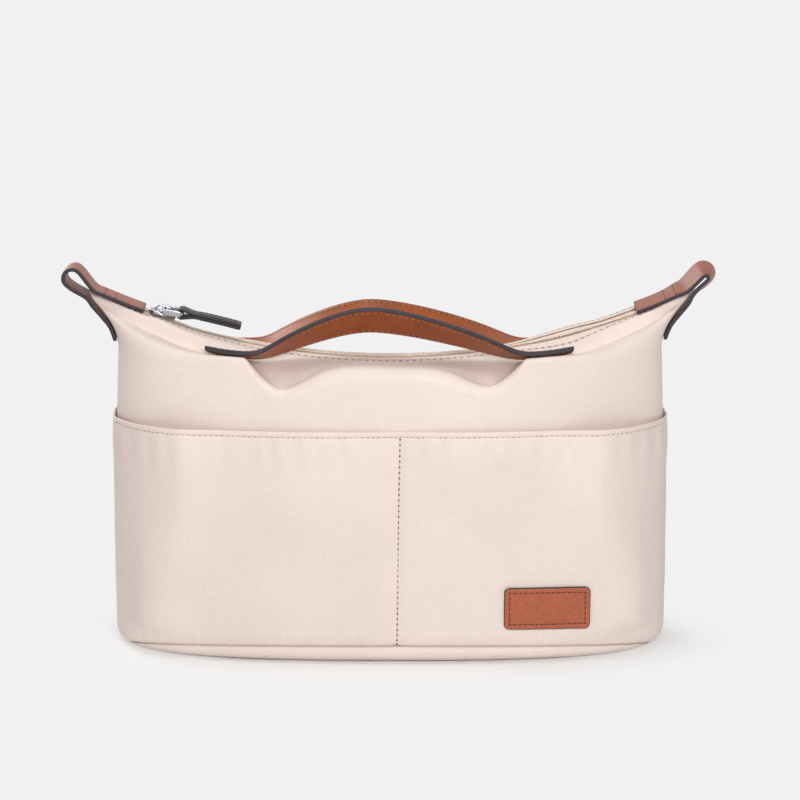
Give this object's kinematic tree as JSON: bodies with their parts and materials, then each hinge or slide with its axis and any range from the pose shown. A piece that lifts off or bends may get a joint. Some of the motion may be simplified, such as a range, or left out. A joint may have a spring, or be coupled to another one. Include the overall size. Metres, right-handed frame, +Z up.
{
  "type": "purse organizer insert",
  "caption": "Soft zip-top pouch with outside slip pockets, leather carry handles, a leather loop at each end of the zip and a leather zip pull.",
  "frame": {"origin": "middle of the underside, on the surface the organizer stands on", "axes": "+X along the zip to the right seen from the front, +Y to the rear, +Z up"},
  "size_m": [0.313, 0.0994, 0.1833],
  "materials": {
    "fabric": "fine twill with a soft sheen",
    "lining": "plain woven lining",
    "board": "stiff plastic board",
    "zip_tape": "woven zip tape",
    "zip_coil": "nylon coil",
    "tab_leather": "smooth leather with dark painted edges",
    "handle_leather": "smooth leather with dark painted edges",
    "pull_leather": "smooth dark leather",
    "label_leather": "smooth leather, bare",
    "metal": "polished nickel"
  },
  "bodies": {
    "bag": {"front_panel": "fabric", "rear_panel": "fabric", "base_panel": "fabric", "base_board": "board", "base_lining": "lining", "front_lining": "lining", "rear_lining": "lining", "inner_slip_pocket": "lining", "front_pocket": "fabric", "rear_pocket": "fabric", "label_patch": "label_leather", "zip_tape_front": "zip_tape", "zip_tape_rear": "zip_tape", "zip_coil_front": "zip_coil", "zip_coil_rear": "zip_coil", "right_end_tab": "tab_leather", "left_end_tab": "tab_leather", "front_handle_right_end": "handle_leather", "front_handle_left_end": "handle_leather", "rear_handle_left_end": "handle_leather", "rear_handle_right_end": "handle_leather"},
    "front_handle": {"front_handle_face": "handle_leather", "front_handle_backing": "handle_leather"},
    "rear_handle": {"rear_handle_face": "handle_leather", "rear_handle_backing": "handle_leather"},
    "slider": {"zip_slider": "metal"},
    "pull": {"pull_link": "metal", "pull_strap": "pull_leather"}
  },
  "joints": [
    {"name": "front_handle_swing", "type": "hinge", "parent": "bag", "child": "front_handle", "pos_m": [0, -0.03838, 0.14634], "axis": [1, 0, 0], "range_deg": [0, 130]},
    {"name": "rear_handle_swing", "type": "hinge", "parent": "bag", "child": "rear_handle", "pos_m": [0, 0.0388, 0.1406], "axis": [-1, 0, 0], "range_deg": [0, 130]},
    {"name": "zip_travel", "type": "hinge", "parent": "bag", "child": "slider", "pos_m": [0, 0, 0.4757], "axis": [0, -1, 0], "range_deg": [0, 35.7]},
    {"name": "pull_swing", "type": "hinge", "parent": "slider", "child": "pull", "pos_m": [-0.10711, 0, 0.16034], "axis": [0, -1, 0], "range_deg": [0, 135]}
  ]
}
